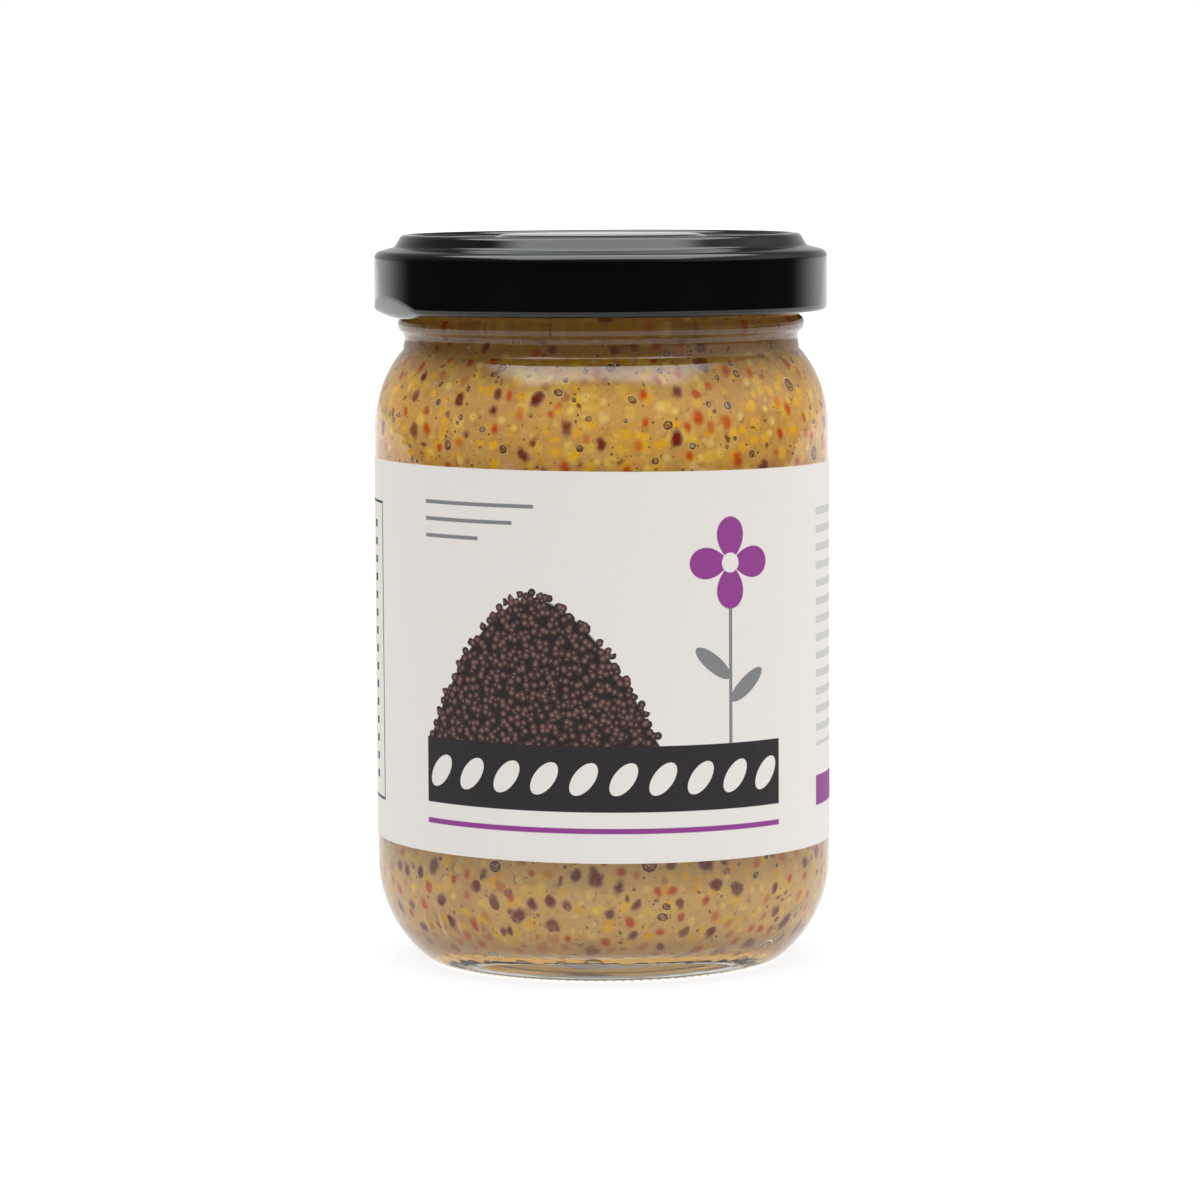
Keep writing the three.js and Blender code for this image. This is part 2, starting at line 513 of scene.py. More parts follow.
def press_lugs(points):
    """At two opposite lugs the foot of the skirt is pressed in flat, to a slanted face that hangs lower."""
    for middle in (dent_middle, dent_middle + 180):
        away = np.radians(turn_between(azimuths(points), middle))
        share = np.maximum((points[:, 2] - cap_bottom) / dent_height, 0)
        face = cap_radius - dent_depth * (1 - share)
        depth = soft_positive(cap_radius * np.cos(away) - face, fold_round)
        inwards = math.radians(middle)
        points[:, 0] -= depth * math.sin(inwards)
        points[:, 1] += depth * math.cos(inwards)
        points[:, 2] -= depth * dent_drop / dent_depth


def make_cap():
    cap = turned("twist_off_cap", cap_profile(), cap_segments)
    points = places(cap)
    press_lugs(points)
    put(cap, points)
    smooth(cap, 40)
    return cap


# The label: a strip of paper wrapped round the body, its ends overlapping at the back

def make_label():
    inner = body_radius + label_gap
    length = 2 * math.pi * inner + label_overlap
    height = label_top - label_bottom
    columns = 384
    deselect()
    bpy.ops.mesh.primitive_grid_add(x_subdivisions=columns, y_subdivisions=6, size=1)
    label = bpy.context.object
    label.name = "paper_label"
    label.data.name = "paper_label"
    flat = places(label)
    around = flat[:, 0] * length
    up = (flat[:, 1] + 0.5) * height + label_bottom
    corners = np.empty(len(label.data.loops), int)
    label.data.loops.foreach_get("vertex_index", corners)
    while label.data.uv_layers:
        label.data.uv_layers.remove(label.data.uv_layers[0])
    prints = np.stack([around, up], axis=1)[corners] / mm
    label.data.uv_layers.new(name="print").data.foreach_set("uv", prints.ravel())
    end = length / 2 - label_overlap
    radius = inner + (label_thickness + 0.02 * mm) * smoothstep(around, end - 2.5 * mm, end)
    angle = around / inner
    x = radius * np.sin(angle)
    y = -radius * np.cos(angle)
    put(label, np.stack([x, y, up - label_skew * x], axis=1))
    thicken = label.modifiers.new("paper", "SOLIDIFY")
    thicken.thickness = label_thickness
    thicken.offset = -1
    bpy.context.view_layer.objects.active = label
    bpy.ops.object.modifier_apply(modifier=thicken.name)
    bpy.ops.object.mode_set(mode="EDIT")
    bpy.ops.mesh.select_all(action="SELECT")
    bpy.ops.mesh.normals_make_consistent(inside=False)
    bpy.ops.object.mode_set(mode="OBJECT")
    smooth(label, 40)
    return label


# Materials

def paint(red, green, blue):
    """A colour as seen on a screen, 0 to 255, as the linear colour that a shader takes."""
    shares = [value / 255 for value in (red, green, blue)]
    return tuple(s / 12.92 if s <= 0.04045 else ((s + 0.055) / 1.055) ** 2.4 for s in shares) + (1.0,)


class Nodes:
    """The node tree of a material or of the world, with short calls for the nodes used here."""

    def __init__(self, material):
        material.use_nodes = True
        self.tree = material.node_tree
        self.tree.nodes.clear()

    def feed(self, socket, value):
        if isinstance(value, bpy.types.NodeSocket):
            self.tree.links.new(value, socket)
        else:
            socket.default_value = value

    def add(self, kind, inputs, **settings):
        node = self.tree.nodes.new("ShaderNode" + kind)
        for name, value in settings.items():
            setattr(node, name, value)
        for name, value in inputs.items():
            self.feed(node.inputs[name], value)
        return node

    def place(self):
        """Where a point is on the piece, in metres."""
        return self.add("TexCoord", {}).outputs["Object"]

    def parts(self, vector):
        return self.add("SeparateXYZ", {"Vector": vector}).outputs

    def stretched(self, vector, scale, shift=(0, 0, 0)):
        return self.add("Mapping", {"Vector": vector, "Scale": scale, "Location": shift}).outputs["Vector"]

    def shifted(self, vector, shift):
        return self.stretched(vector, (1, 1, 1), shift)

    def length(self, vector):
        return self.add("VectorMath", {0: vector}, operation="LENGTH").outputs["Value"]

    def math(self, operation, first, second=0.0):
        return self.add("Math", {0: first, 1: second}, operation=operation).outputs[0]

    def ramp(self, value, low, high, start=0.0, end=1.0):
        """A soft step of value from low to high."""
        sockets = {"Value": value, "From Min": low, "From Max": high, "To Min": start, "To Max": end}
        return self.add("MapRange", sockets, interpolation_type="SMOOTHSTEP").outputs["Result"]

    def mix(self, share, first, second):
        node = self.add("Mix", {0: share, 6: first, 7: second}, data_type="RGBA")
        return node.outputs[2]

    def noise(self, vector, scale, detail, roughness=0.5):
        sockets = {"Vector": vector, "Scale": scale, "Detail": detail, "Roughness": roughness}
        return self.add("TexNoise", sockets).outputs["Fac"]

    def cells(self, vector, scale, **settings):
        return self.add("TexVoronoi", {"Vector": vector, "Scale": scale}, **settings).outputs

    def bump(self, height, distance):
        sockets = {"Height": height, "Distance": distance, "Strength": 1.0}
        return self.add("Bump", sockets).outputs["Normal"]

    def surface(self, sockets):
        self.show(self.add("BsdfPrincipled", sockets).outputs["BSDF"])

    def show(self, shader):
        self.add("OutputMaterial", {"Surface": shader})


def glass_material():
    """Clear glass, hardly tinted, with the faint ripple that the mould leaves."""
    material = bpy.data.materials.new("clear_glass")
    nodes = Nodes(material)
    place = nodes.place()
    ripple = nodes.noise(nodes.stretched(place, (1, 1, 0.25)), 160, 2)
    fine = nodes.noise(place, 700, 1)
    height = nodes.math("ADD", ripple, nodes.math("MULTIPLY", fine, 0.12))
    glass = nodes.add("BsdfPrincipled", {
        "Base Color": (0.98, 0.995, 0.97, 1.0),
        "Roughness": 0.0,
        "IOR": 1.52,
        "Transmission Weight": 1.0,
        "Normal": nodes.bump(height, 0.03 * mm),
    })
    clear = nodes.add("BsdfTransparent", {"Color": (0.93, 0.95, 0.94, 1.0)})
    light_path = nodes.add("LightPath", {})
    shader = nodes.add("MixShader", {
        0: light_path.outputs["Is Shadow Ray"],
        1: glass.outputs["BSDF"],
        2: clear.outputs["BSDF"],
    })
    nodes.show(shader.outputs["Shader"])
    return material


def blurred_seeds(nodes, place, colour, scale, shift, size, share, paints):
    """Seeds that lie a little deeper in the paste, seen as soft spots."""
    cells = nodes.cells(nodes.shifted(place, shift), scale)
    pick = nodes.parts(cells["Color"])
    spot = nodes.ramp(cells["Distance"], size, size * 0.45)
    chosen = nodes.math("LESS_THAN", pick["X"], share)
    spot_paint = nodes.mix(pick["Y"], paints[0], paints[1])
    weight = nodes.math("MULTIPLY", nodes.math("MULTIPLY", spot, chosen), nodes.ramp(pick["Z"], -0.6, 1.0))
    return nodes.mix(weight, colour, spot_paint)


def paste_colour(nodes, place):
    """The ground mustard: cloudy tan with darker patches, paler near the base, and blurred seeds in it."""
    cloud = nodes.noise(place, 130, 3)
    haze = nodes.noise(nodes.shifted(place, (0.3, 0.1, 0.2)), 60, 2)
    dusk = nodes.noise(nodes.shifted(place, (0.7, 0.5, 0.1)), 95, 2)
    colour = nodes.mix(nodes.ramp(cloud, 0.35, 0.65), paint(218, 164, 68), paint(212, 162, 84))
    colour = nodes.mix(nodes.ramp(haze, 0.42, 0.66, 0.0, 0.7), colour, paint(206, 158, 92))
    low = nodes.ramp(nodes.parts(place)["Z"], label_bottom, label_top, 0.65, 0.0)
    colour = nodes.mix(low, colour, paint(220, 178, 116))
    colour = nodes.mix(nodes.ramp(dusk, 0.52, 0.70, 0.0, 0.4), colour, paint(166, 118, 88))
    yellows = (paint(238, 184, 46), paint(230, 192, 88))
    colour = blurred_seeds(nodes, place, colour, 430, (0, 0, 0), 0.50, 0.75, yellows)
    oranges = (paint(240, 170, 14), paint(232, 180, 46))
    colour = blurred_seeds(nodes, place, colour, 470, (0.11, 0.07, 0.05), 0.46, 0.55, oranges)
    reds = (paint(176, 86, 48), paint(140, 92, 78))
    return blurred_seeds(nodes, place, colour, 400, (0.05, 0.17, 0.09), 0.34, 0.2, reds)


def ground(nodes, place, colour, meal=1.0):
    """Fine meal over all in the paste, partly painted shade; painted shade at its foot and, from the lid, at
    its rim.
    """
    level = nodes.parts(place)["Z"]
    # A brown mottle in the meal, partly its own colour and partly painted shade between its grains.
    mottle_and_shade = nodes.noise(nodes.shifted(place, (0.1, 0.4, 0.3)), 900, 3, 0.65)
    cream = nodes.noise(nodes.shifted(place, (0.6, 0.2, 0.9)), 1100, 3, 0.6)
    colour = nodes.mix(nodes.ramp(mottle_and_shade, 0.50, 0.78, 0.0, 0.5 * meal), colour, paint(156, 104, 48))
    colour = nodes.mix(nodes.ramp(cream, 0.50, 0.80, 0.0, 0.45 * meal), colour, paint(240, 206, 128))
    from_axis = nodes.length(nodes.stretched(place, (1, 1, 0)))
    # Painted shade: the paste darkens in the corner at its foot, low down and near the wall.
    low = nodes.ramp(level, foot_shade_top, foot_shade_bottom, 0.0, 0.7)
    foot = nodes.math("MULTIPLY", low, nodes.ramp(from_axis, foot_shade_inner, foot_shade_outer))
    colour = nodes.mix(foot, colour, paint(116, 78, 40))
    grain = nodes.cells(nodes.shifted(place, (0.02, 0.03, 0.04)), 1500)
    chosen = nodes.math("LESS_THAN", nodes.parts(grain["Color"])["X"], 0.10)
    speck = nodes.math("MULTIPLY", nodes.ramp(grain["Distance"], 0.30, 0.16), chosen)
    colour = nodes.mix(nodes.math("MULTIPLY", speck, 0.5), colour, paint(150, 86, 40))
    # Painted shade from the lid: the paste darkens towards the neck, under the cap's skirt.
    painted_lid_shade = nodes.ramp(level, waist_height - 4 * mm, waist_height - 1 * mm, 0.0, 0.62)
    return nodes.mix(painted_lid_shade, colour, paint(112, 62, 22))


def moist(nodes, colour, roughness=0.5):
    """Mustard against glass: matt, but a mirror at low angles, since it bends light less than glass."""
    index_from_glass = 0.914
    body = nodes.add("BsdfPrincipled", {
        "Base Color": colour,
        "Roughness": roughness,
        "Specular IOR Level": 0.0,
    })
    mirror = nodes.add("BsdfGlossy", {"Color": (0.95, 0.97, 0.95, 1.0), "Roughness": 0.03})
    share = nodes.add("Fresnel", {"IOR": index_from_glass}).outputs["Fac"]
    shader = nodes.add("MixShader", {0: share, 1: body.outputs["BSDF"], 2: mirror.outputs["BSDF"]})
    nodes.show(shader.outputs["Shader"])


def paste_material():
    material = bpy.data.materials.new("mustard_paste")
    nodes = Nodes(material)
    place = nodes.place()
    moist(nodes, ground(nodes, place, paste_colour(nodes, place)))
    return material


def spot_parts(nodes):
    """On a grain: the place from its middle, how far out that is (0 to 1), and its own random tone."""
    spot = nodes.add("UVMap", {}, uv_map="spot").outputs["UV"]
    centred = nodes.add("VectorMath", {0: spot, 1: (0.5, 0.5, 0.0)}, operation="SUBTRACT").outputs[0]
    out = nodes.math("MULTIPLY", nodes.length(centred), 2.0)
    tone = nodes.add("Attribute", {}, attribute_name="tone").outputs["Fac"]
    return centred, out, tone


def seed_material(name, paints, softness=0.0, halo=None):
    """A seed's skin in two paints, mottled with a third, fading at its edge into the paste or a stain."""
    material = bpy.data.materials.new(name)
    nodes = Nodes(material)
    place = nodes.place()
    _spot, out, tone = spot_parts(nodes)
    paste = paste_colour(nodes, place)
    mottle = nodes.noise(place, 2600, 2)
    seed = nodes.mix(tone, paints[0], paints[1])
    seed = nodes.mix(nodes.ramp(mottle, 0.35, 0.75, 0.0, 0.35), seed, paints[2])
    ragged = nodes.math("ADD", out, nodes.ramp(nodes.noise(place, 850, 3), 0.2, 0.8, -0.24, 0.24))
    depth = nodes.math("FRACT", nodes.math("MULTIPLY", tone, 7.0))
    seed = nodes.mix(nodes.ramp(depth, 0.3, 1.0, 0.0, 0.2 if halo else 0.5), seed, paste)
    if halo:
        stain = nodes.mix(nodes.ramp(ragged, 0.4, 0.96), halo, paste)
        colour = nodes.mix(nodes.ramp(ragged, 0.24, 0.7), seed, stain)
    else:
        colour = nodes.mix(nodes.ramp(ragged, 0.96 - softness, 0.96), seed, paste)
    moist(nodes, ground(nodes, place, colour, 0.4))
    return material


def pale_material():
    """A crushed seed: a pale disc, its husk left along one side as a brown crescent."""
    material = bpy.data.materials.new("pale_seed")
    nodes = Nodes(material)
    place = nodes.place()
    spot, out, tone = spot_parts(nodes)
    paste = paste_colour(nodes, place)
    body = nodes.mix(tone, paint(240, 202, 96), paint(228, 194, 118))
    body = nodes.mix(nodes.ramp(out, 0.15, 0.95), body, paste)
    side = nodes.ramp(nodes.parts(spot)["X"], 0.10, 0.42)
    ring = nodes.math("MULTIPLY", nodes.ramp(out, 0.58, 0.78), nodes.ramp(out, 1.0, 0.84))
    husk = nodes.math("MULTIPLY", nodes.math("MULTIPLY", side, ring), nodes.ramp(tone, 0.6, 0.9))
    colour = nodes.mix(nodes.math("MULTIPLY", husk, 0.75), body, paint(120, 62, 40))
    moist(nodes, ground(nodes, place, colour))
    return material


def bubble_material():
    """An air bubble against the glass: a pale line of painted reflection round a dark edge of painted shade,
    and a mottled middle.
    """
    material = bpy.data.materials.new("air_bubble")
    nodes = Nodes(material)
    place = nodes.place()
    _spot, out, tone = spot_parts(nodes)
    mottle = nodes.ramp(nodes.noise(place, 2300, 3, 0.7), 0.40, 0.62)
    inside = nodes.mix(mottle, paint(120, 74, 36), paint(190, 144, 84))
    grey = nodes.mix(mottle, paint(110, 88, 72), paint(176, 156, 132))
    inside = nodes.mix(nodes.ramp(tone, 0.7, 0.95), inside, grey)
    # Painted shade: the dark edge round the bubble's middle.
    edge = nodes.mix(nodes.ramp(out, 0.46, 0.72), inside, paint(92, 52, 26))
    # Painted reflection: the pale line round the dark edge.
    rim = nodes.mix(nodes.ramp(out, 0.74, 0.86), edge, paint(238, 212, 160))
    soft_rim = nodes.mix(nodes.ramp(out, 0.88, 1.0), rim, paste_colour(nodes, place))
    moist(nodes, soft_rim, 0.35)
    return material


def speck_material():
    """Bran: crumbs of husk, brown to orange."""
    material = bpy.data.materials.new("bran_speck")
    nodes = Nodes(material)
    _spot, _out, tone = spot_parts(nodes)
    colour = nodes.mix(nodes.ramp(tone, 0.3, 0.7), paint(116, 62, 34), paint(190, 110, 44))
    moist(nodes, nodes.mix(nodes.ramp(tone, 0.86, 0.9), colour, paint(80, 40, 40)))
    return material


def husk_material():
    """A strip of dark husk, thin enough for the paste to show through its ends."""
    material = bpy.data.materials.new("seed_husk")
    nodes = Nodes(material)
    place = nodes.place()
    _spot, out, tone = spot_parts(nodes)
    skin = nodes.mix(tone, paint(128, 50, 30), paint(112, 66, 50))
    ragged = nodes.math("ADD", out, nodes.ramp(nodes.noise(place, 1300, 2), 0.2, 0.8, -0.3, 0.3))
    colour = nodes.mix(nodes.ramp(ragged, 0.1, 0.9), skin, paste_colour(nodes, place))
    moist(nodes, ground(nodes, place, colour))
    return material


def lacquer_material():
    """Gloss black lacquer with a trace of orange peel."""
    material = bpy.data.materials.new("black_lacquer")
    nodes = Nodes(material)
    place = nodes.place()
    peel = nodes.noise(place, 900, 2)
    nodes.surface({
        "Base Color": (0.0012, 0.001, 0.001, 1.0),
        "Roughness": 0.07,
        "IOR": 1.5,
        "Normal": nodes.bump(peel, 0.0015 * mm),
    })
    return material


# The print: a made-up design of a seed heap, a bold band, a flower and ruled panels. Millimetres on the
# paper, across from the middle of the front and up from the foot of the jar.

off_white = paint(235, 229, 222)
print_black = paint(36, 32, 33)
print_purple = paint(146, 60, 142)
print_grey = paint(130, 130, 130)
print_edge = 0.05


class Print(Nodes):
    """Flat shapes on the paper, each laid over what is printed so far."""

    def __init__(self, material):
        super().__init__(material)
        self.paper = self.add("UVMap", {}, uv_map="print").outputs["UV"]
        self.across = self.parts(self.paper)["X"]
        self.up = self.parts(self.paper)["Y"]
        self.colour = off_white

    def lay(self, mask, ink):
        self.colour = self.mix(mask, self.colour, ink)

    def between(self, value, low, high):
        rise = self.ramp(value, low - print_edge, low + print_edge)
        return self.math("MULTIPLY", rise, self.ramp(value, high + print_edge, high - print_edge))

    def block(self, left, right, bottom, top):
        wide = self.between(self.across, left, right)
        return self.math("MULTIPLY", wide, self.between(self.up, bottom, top))

    def frame(self, left, right, bottom, top, line):
        inside = self.block(left + line, right - line, bottom + line, top - line)
        return self.math("SUBTRACT", self.block(left, right, bottom, top), inside)

    def oval(self, across, up, half_length, half_width, tilt):
        """An oval on any pair of coordinates, tilted by degrees."""
        c = math.cos(math.radians(tilt))
        s = math.sin(math.radians(tilt))
        along = self.math("ADD", self.math("MULTIPLY", across, c), self.math("MULTIPLY", up, s))
        side = self.math("SUBTRACT", self.math("MULTIPLY", up, c), self.math("MULTIPLY", across, s))
        first = self.math("POWER", self.math("DIVIDE", along, half_length), 2.0)
        second = self.math("POWER", self.math("DIVIDE", side, half_width), 2.0)
        soft = print_edge / half_width
        return self.ramp(self.math("ADD", first, second), 1 + soft, 1 - soft)


def lay_heap(sheet_print):
    """A heap of dark round seeds, whole at its outline, resting on the bold band."""
    middle, foot, half_width, height = -9.0, 31.5, 17.0, 20.5
    pitch = 1.1

    def room_under(across, up):
        """How far a point lies under the heap's outline."""
        aside = sheet_print.math("ABSOLUTE", sheet_print.math("SUBTRACT", across, middle))
        share = sheet_print.math("DIVIDE", aside, half_width)
        drop = sheet_print.math("MULTIPLY", sheet_print.math("POWER", share, 1.8), height)
        return sheet_print.math("SUBTRACT", sheet_print.math("SUBTRACT", foot + height, drop), up)

    on_band = sheet_print.math("GREATER_THAN", sheet_print.up, foot)
    filling = sheet_print.ramp(room_under(sheet_print.across, sheet_print.up), 0.7 * pitch, 1.2 * pitch)
    sheet_print.lay(sheet_print.math("MULTIPLY", filling, on_band), paint(34, 24, 24))
    layers = ((0.0, paint(58, 38, 35), paint(74, 46, 40)), (3.3, paint(78, 52, 46), paint(104, 70, 60)))
    for shift, dull, bright in layers:
        moved = sheet_print.shifted(sheet_print.paper, (shift, shift, 0))
        cells = sheet_print.cells(moved, 1 / pitch, voronoi_dimensions="2D")
        centre = sheet_print.parts(cells["Position"])
        under = room_under(
            sheet_print.math("SUBTRACT", centre["X"], shift), sheet_print.math("SUBTRACT", centre["Y"], shift)
        )
        inside = sheet_print.math("MULTIPLY", sheet_print.math("GREATER_THAN", under, 0.0), on_band)
        seed = sheet_print.mix(sheet_print.parts(cells["Color"])["X"], dull, bright)
        gleam = sheet_print.ramp(cells["Distance"], 0.22, 0.0, 0.0, 0.5)
        seed = sheet_print.mix(gleam, seed, paint(168, 146, 136))
        seed = sheet_print.mix(sheet_print.ramp(cells["Distance"], 0.24, 0.48), seed, paint(30, 20, 20))
        grain = sheet_print.ramp(cells["Distance"], 0.52, 0.44)
        sheet_print.lay(sheet_print.math("MULTIPLY", inside, grain), seed)


def lay_band(sheet_print):
    """A bold band with a row of seeds left bare in it, over a thin purple line."""
    half_length, bottom, top, pitch = 26.0, 23.4, 32.0, 5.2
    sheet_print.lay(sheet_print.block(-half_length, half_length, bottom, top), print_black)
    start = sheet_print.math("ADD", sheet_print.across, half_length + 4 * pitch)
    step = sheet_print.math("SUBTRACT", sheet_print.math("MODULO", start, pitch), pitch / 2)
    level = sheet_print.math("SUBTRACT", sheet_print.up, (bottom + top) / 2)
    row = sheet_print.block(-half_length, half_length, bottom, top)
    seeds = sheet_print.oval(step, level, 2.5, 1.35, 52)
    sheet_print.lay(sheet_print.math("MULTIPLY", row, seeds), off_white)
    sheet_print.lay(sheet_print.block(-half_length, half_length, 20.6, 21.3), print_purple)


def lay_flower(sheet_print):
    """A four-petalled flower on a thin stem with two leaves."""
    middle, height, size = 17.5, 55.5, 6.0
    x = sheet_print.math("SUBTRACT", sheet_print.across, middle)
    y = sheet_print.math("SUBTRACT", sheet_print.up, height)
    sheet_print.lay(sheet_print.block(middle - 0.25, middle + 0.25, 32.0, height - 3), print_grey)
    for side, leaf_height, tilt in ((-2.6, 42.5, -38), (2.6, 39.5, 38)):
        leaf_x = sheet_print.math("SUBTRACT", x, side)
        leaf_y = sheet_print.math("SUBTRACT", sheet_print.up, leaf_height)
        sheet_print.lay(sheet_print.oval(leaf_x, leaf_y, 3.2, 1.1, tilt), print_grey)
    x2 = sheet_print.math("MULTIPLY", x, x)
    y2 = sheet_print.math("MULTIPLY", y, y)
    r2 = sheet_print.math("ADD", x2, y2)
    lobes = sheet_print.math("ABSOLUTE", sheet_print.math("DIVIDE", sheet_print.math("SUBTRACT", x2, y2), r2))
    reach = sheet_print.math("MULTIPLY", sheet_print.math("POWER", lobes, 0.55), size)
    out = sheet_print.math("SQRT", r2)
    sheet_print.lay(sheet_print.ramp(sheet_print.math("SUBTRACT", out, reach), 0.1, -0.1), print_purple)
    sheet_print.lay(sheet_print.ramp(out, 1.35, 1.25), off_white)


def lay_panels(sheet_print):
    """Ruled panels round the sides and the back, where a pack has its small print."""
    dashes = sheet_print.between(sheet_print.math("MODULO", sheet_print.up, 2.4), 0.7, 1.7)
    pale_grey = paint(206, 203, 200)

    def lay_lines(left, right, bottom, top, ink):
        """Even lines that fill a block."""
        block = sheet_print.block(left, right, bottom, top)
        sheet_print.lay(sheet_print.math("MULTIPLY", block, dashes), ink)

    for width, line_height in ((17, 62.6), (14, 60.4), (9, 58.2)):
        sheet_print.lay(sheet_print.block(-26, -26 + width, line_height, line_height + 0.5), print_grey)
    sheet_print.lay(sheet_print.frame(-47, -38.5, 22, 62, 0.35), print_black)
    lay_lines(-43.6, -41.9, 24.5, 59.5, print_black)
    lay_lines(36, 58, 30, 62, pale_grey)
    sheet_print.lay(sheet_print.block(36, 58, 22, 26), print_purple)
    sheet_print.lay(sheet_print.block(-84, -58, 22, 62), print_purple)
    sheet_print.lay(sheet_print.frame(-82.5, -59.5, 23.5, 60.5, 0.4), off_white)
    sheet_print.lay(sheet_print.frame(68, 88, 22, 62, 0.4), print_grey)
    lay_lines(70, 86, 25, 59, pale_grey)


def paper_material():
    """Smooth uncoated paper, printed."""
    material = bpy.data.materials.new("label_paper")
    sheet_print = Print(material)
    lay_panels(sheet_print)
    lay_flower(sheet_print)
    lay_heap(sheet_print)
    lay_band(sheet_print)
    fibre = sheet_print.noise(sheet_print.place(), 3500, 3)
    colour = sheet_print.mix(sheet_print.ramp(fibre, 0.3, 0.8, 0.0, 0.04), sheet_print.colour, print_grey)
    sheet_print.surface({
        "Base Color": colour,
        "Roughness": 0.6,
        "Specular IOR Level": 0.3,
        "Normal": sheet_print.bump(fibre, 0.01 * mm),
    })
    return material


# Floor, world and camera

def make_floor():
    """A pale floor that widens away from the camera. It glows a little, and more right under the jar."""
    near_edge, far_edge = -1.0, 14.0
    near_half_width, far_half_width = 1.1, 2.4
    deselect()
    bpy.ops.mesh.primitive_plane_add(size=2, location=(0, 0, 0))
    floor = bpy.context.object
    floor.name = "floor"
    points = places(floor)
    far = points[:, 1] > 0
    points[:, 1] = np.where(far, far_edge, near_edge)
    points[:, 0] *= np.where(far, far_half_width, near_half_width)
    put(floor, points)
    material = bpy.data.materials.new("floor")
    nodes = Nodes(material)
    distance = nodes.length(nodes.place())
    glow = nodes.ramp(distance, 0.1, 1.0, 0.8, 0.9)
    under_jar = nodes.ramp(distance, bearing_inner, bearing_outer + 1 * mm, 0.6, 0.0)
    nodes.surface({
        "Base Color": (0.14, 0.14, 0.14, 1.0),
        "Roughness": 0.8,
        "Emission Color": (1.0, 1.0, 1.0, 1.0),
        "Emission Strength": nodes.math("ADD", glow, under_jar),
    })
    floor.data.materials.append(material)


def make_world():
    """A white wall behind the jar, a dim room in front of it, and a wide soft light overhead.

    That is what the jar mirrors and what shows through its glass. The camera itself sees plain white.
    """
    white = (1.04, 1.04, 1.04, 1)
    world = bpy.data.worlds.new("studio")
    bpy.context.scene.world = world
    nodes = Nodes(world)
    direction = nodes.parts(nodes.add("TexCoord", {}).outputs["Generated"])
    behind = nodes.ramp(direction["Y"], 0.35, 0.8)
    room = nodes.mix(nodes.ramp(direction["Z"], 0.1, 0.6), (0.045, 0.043, 0.042, 1), (0.2, 0.2, 0.2, 1))
    to_the_right = nodes.ramp(direction["X"], 0.3, 1.0)
    right_side = nodes.math("MULTIPLY", to_the_right, nodes.ramp(direction["Z"], 0.1, 0.4))
    room = nodes.mix(right_side, room, (0.85, 0.83, 0.81, 1))
    wall_light = nodes.mix(nodes.ramp(direction["Z"], 0.0, 0.04), white, (0.62, 0.6, 0.59, 1))
    wall_light = nodes.mix(nodes.ramp(direction["Z"], 0.08, 0.5), wall_light, (0.25, 0.25, 0.26, 1))
    colour = nodes.mix(behind, room, wall_light)
    up = nodes.math("MAXIMUM", direction["Z"], 0.05)
    aside = nodes.math("ABSOLUTE", nodes.math("DIVIDE", direction["X"], up))
    ahead = nodes.math("DIVIDE", direction["Y"], up)
    near_edge = nodes.ramp(ahead, -0.88, -0.58)
    far_edge = nodes.ramp(ahead, 0.8, 0.45)
    in_depth = nodes.math("MULTIPLY", near_edge, far_edge)
    overhead = nodes.math("MULTIPLY", in_depth, nodes.ramp(aside, 0.95, 0.6))
    colour = nodes.mix(overhead, colour, (4.5, 4.65, 4.8, 1))
    backdrop = nodes.add("LightPath", {}).outputs["Is Camera Ray"]
    colour = nodes.mix(backdrop, colour, white)
    background = nodes.add("Background", {"Color": colour})
    nodes.add("OutputWorld", {"Surface": background.outputs["Background"]})


def make_camera():
    """The photo's view: from the front, a little above the lid, leaning a touch to one side."""
    camera = bpy.data.cameras.new("camera")
    camera.lens = 147.706
    camera.sensor_width = 36
    camera.clip_start = 0.01
    eye = bpy.data.objects.new("camera", camera)
    pitch = 0.09366
    roll = 0.00561
    forward = Vector((0, math.cos(pitch), -math.sin(pitch)))
    level_right = Vector((1, 0, 0))
    level_up = level_right.cross(forward)
    right = level_right * math.cos(roll) - level_up * math.sin(roll)
    up = level_right * math.sin(roll) + level_up * math.cos(roll)
    eye.matrix_world = Matrix((right, up, -forward)).transposed().to_4x4()
    eye.location = (-0.34 * mm, -660.58 * mm, 110.17 * mm)
    bpy.context.scene.collection.objects.link(eye)
    bpy.context.scene.camera = eye


def finish_piece(piece, material, slot, *nodes):
    piece.data.materials.clear()
    piece.data.materials.append(material)
    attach(piece, "root")
    if nodes:
        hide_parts(*nodes)


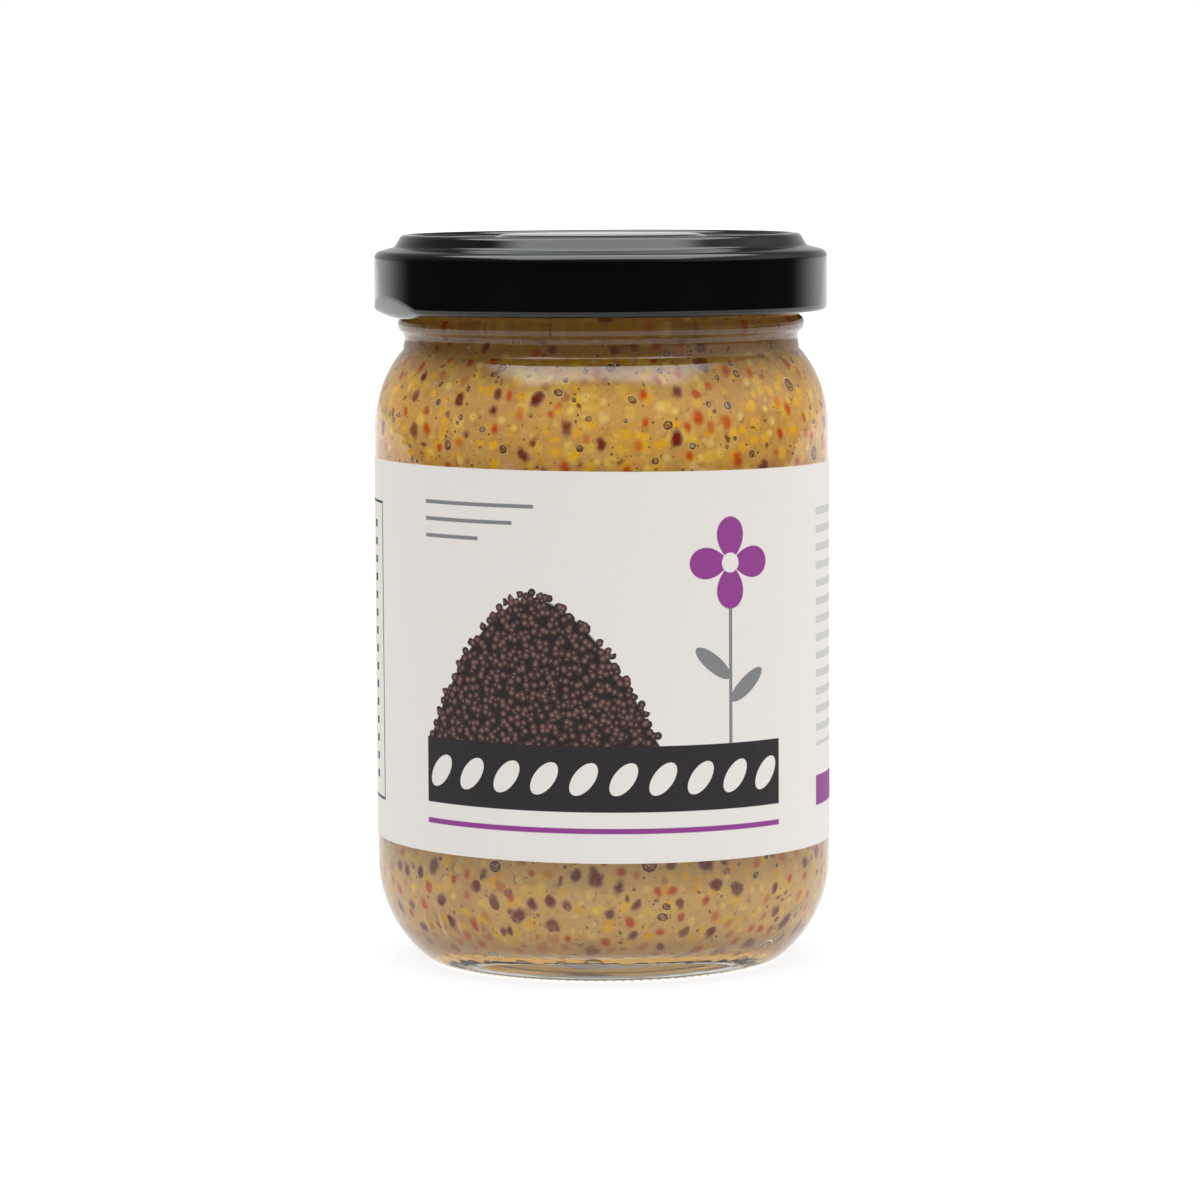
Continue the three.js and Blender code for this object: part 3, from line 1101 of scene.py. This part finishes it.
def make_contents():
    """What is pressed against the glass, in the two bands that the label leaves bare."""
    draw = random.Random(7)
    taken = {}
    under_label = 3 * mm
    upper_band = (label_top - under_label, fill_level - 0.5 * mm)
    lower_band = (0.0, label_bottom + under_label)
    bands = (upper_band, lower_band)

    def sites(upper_count, lower_count, smallest, largest):
        found = []
        for count, (low, high) in zip((upper_count, lower_count), bands):
            found += find_sites(draw, taken, count, low, high, (smallest * mm / 2, largest * mm / 2))
        return found

    grain = pressed_form(12, 6)
    crumb = pressed_form(6, 4)
    pockets = sites(16, 26, 1.6, 2.8)
    dark = sites(90, 150, 2.2, 3.3)
    red = sites(190, 260, 1.7, 2.7)
    yellow = sites(130, 80, 1.3, 2.1)
    pale = sites(170, 160, 1.4, 2.3)
    bubbles = sites(230, 110, 0.5, 1.5)
    husks = sites(70, 90, 0.8, 1.8)
    specks = sites(800, 500, 0.16, 0.42)

    reds = (paint(204, 80, 14), paint(186, 58, 20), paint(214, 108, 32))
    darks = (paint(120, 30, 16), paint(92, 28, 24), paint(144, 46, 28))
    yellows = (paint(240, 178, 20), paint(230, 168, 44), paint(244, 194, 60))
    slot = "wholegrain_mustard"
    lift = 0.045 * mm
    stain = paint(150, 104, 84)
    dark_pieces = copies("dark_seeds", grain, dark, draw, lift, 0.14, tall=1.35, spin=0.6)
    red_pieces = copies("red_seeds", grain, red, draw, lift, 0.14, tall=1.3, spin=0.5)
    yellow_pieces = copies("yellow_seeds", grain, yellow, draw, lift, 0.16, tall=1.1)
    pale_pieces = copies("pale_seeds", grain, pale, draw, lift, 0.16)
    bubble_pieces = copies("air_bubbles", grain, pockets + bubbles, draw, lift, 0.2)
    husk_pieces = copies("seed_husks", grain, husks, draw, lift, 0.3, tall=1.8)
    speck_pieces = copies("bran_specks", crumb, specks, draw, lift, 0.35)
    finish_piece(dark_pieces, seed_material("dark_seed", darks, halo=stain), slot)
    finish_piece(red_pieces, seed_material("red_seed", reds, softness=0.75), slot)
    finish_piece(yellow_pieces, seed_material("yellow_seed", yellows, softness=0.6), slot)
    finish_piece(pale_pieces, pale_material(), slot)
    finish_piece(bubble_pieces, bubble_material(), slot)
    finish_piece(husk_pieces, husk_material(), slot)
    finish_piece(speck_pieces, speck_material(), slot)


make_camera()
make_world()
make_floor()
bpy.context.scene.view_settings.view_transform = "Standard"

finish_piece(make_glass(), glass_material(), "clear_glass", "jar_glass")
finish_piece(make_paste(), paste_material(), "wholegrain_mustard", "mustard")
make_contents()
finish_piece(make_cap(), lacquer_material(), "black_lacquer", "cap")
finish_piece(make_label(), paper_material(), "label_paper", "label")
